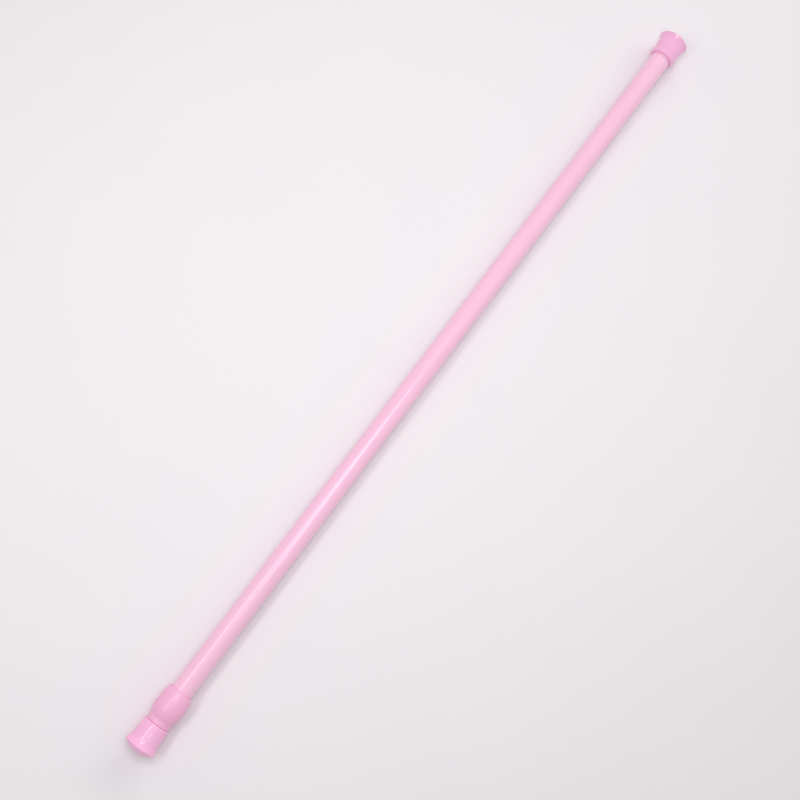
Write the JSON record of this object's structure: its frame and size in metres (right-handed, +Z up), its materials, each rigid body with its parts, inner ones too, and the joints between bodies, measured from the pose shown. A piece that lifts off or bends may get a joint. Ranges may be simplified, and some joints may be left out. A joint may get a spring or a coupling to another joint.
{
  "type": "spring tension rod",
  "caption": "Slim telescoping curtain rod with flared grip caps, a barrel collar, an inner spring plunger and a twist lock, wedged between two walls.",
  "frame": {"origin": "centre of the wall face of the fixed tube's end cap", "axes": "+X along the rod towards the sliding end, +Z up when the rod lies level"},
  "size_m": [0.55, 0.02, 0.02],
  "materials": {
    "coated_tube": "pink plastic-coated steel, satin gloss",
    "cap_vinyl": "pink soft vinyl, moulded glossy",
    "collar_plastic": "pink moulded plastic, fine satin",
    "natural_nylon": "natural nylon, moulded",
    "spring_steel": "drawn spring wire"
  },
  "bodies": {
    "fixed_tube": {"outer_tube": "coated_tube", "outer_end_cap": "cap_vinyl", "collar": "collar_plastic"},
    "guide": {"guide_ring": "natural_nylon"},
    "sliding_tube": {"inner_tube": "coated_tube", "inner_end_cap": "cap_vinyl", "plunger_bush": "natural_nylon", "tension_spring": "spring_steel"},
    "plunger": {"lock_plunger": "natural_nylon"},
    "cam": {"cam_ring": "natural_nylon"}
  },
  "joints": [
    {"name": "extend", "type": "slide", "parent": "fixed_tube", "child": "guide", "axis": [1, 0, 0], "range_m": [0, 0.35]},
    {"name": "twist", "type": "hinge", "parent": "guide", "child": "sliding_tube", "pos_m": [0.1714, 0, 0], "axis": [1, 0, 0], "range_deg": [0, 55]},
    {"name": "spring_stroke", "type": "slide", "parent": "sliding_tube", "child": "plunger", "axis": [1, 0, 0], "range_m": [0, 0.035], "stiffness_N_per_m": 800, "springref_m": -0.004, "deforming": ["tension_spring"]},
    {"name": "cam_turn", "type": "hinge", "parent": "plunger", "child": "cam", "pos_m": [0.0164, 0, 0.0004], "axis": [1, 0, 0], "range_deg": [-55, 0]}
  ],
  "couplings": [
    {"joint": "cam_turn", "follows": "twist", "ratio": -1}
  ]
}
